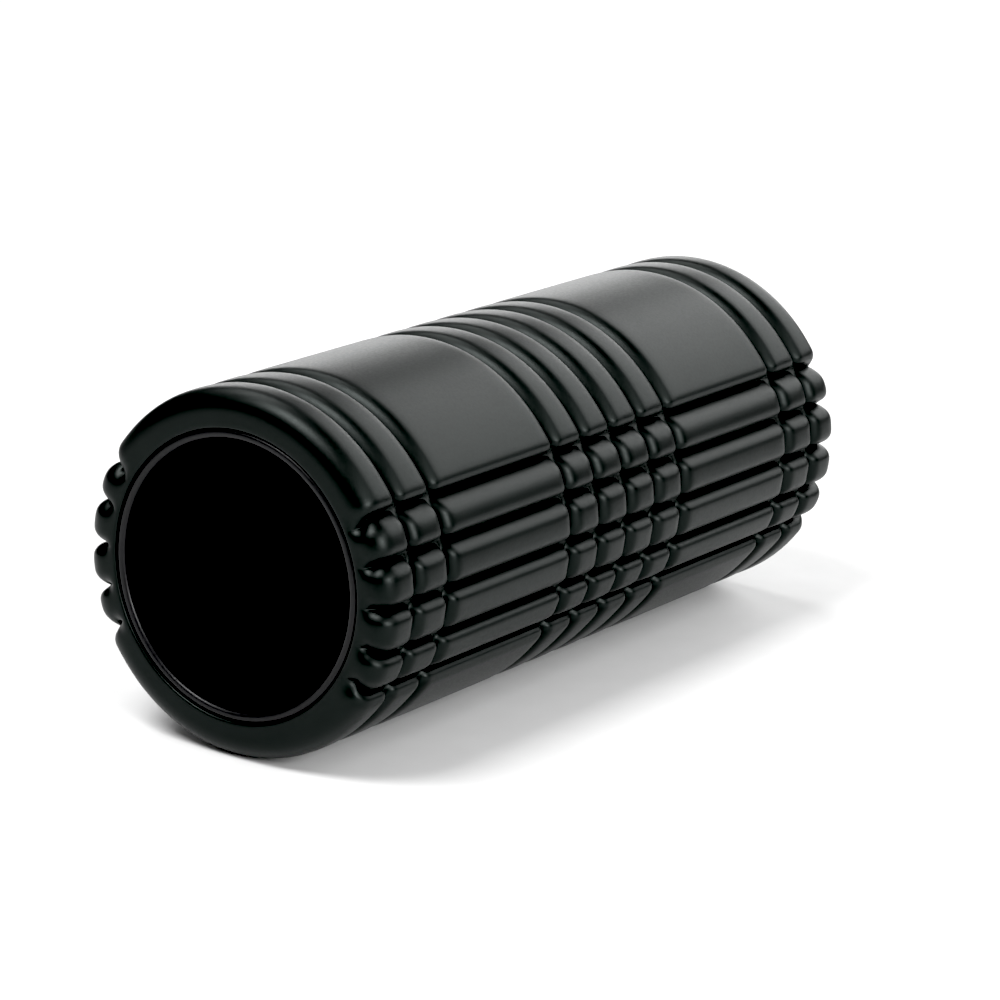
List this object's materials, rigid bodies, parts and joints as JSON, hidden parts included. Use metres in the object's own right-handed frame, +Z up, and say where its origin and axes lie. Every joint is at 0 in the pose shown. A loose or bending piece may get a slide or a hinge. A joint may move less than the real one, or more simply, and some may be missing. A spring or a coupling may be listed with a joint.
{
  "type": "foam roller",
  "caption": "Cylindrical massage roller: a patterned black foam sleeve over a rigid hollow core tube that is open at both ends.",
  "frame": {"origin": "on the surface that the roller lies on, under the middle of its length", "axes": "+X along the roller's axis, +Z up; the smooth zones of the cover are above and below, at +Z and -Z of the axis, and the block zones are at +Y and -Y of it"},
  "size_m": [0.324, 0.1398, 0.14],
  "materials": {
    "foam": "black closed-cell EVA foam with a fine satin moulded skin",
    "adhesive": "dried contact adhesive, amber and slightly tacky",
    "core": "black extruded ABS with a low satin sheen"
  },
  "bodies": {
    "root": {"foam_cover": "foam", "bond_film": "adhesive", "core_tube": "core"}
  },
  "joints": []
}
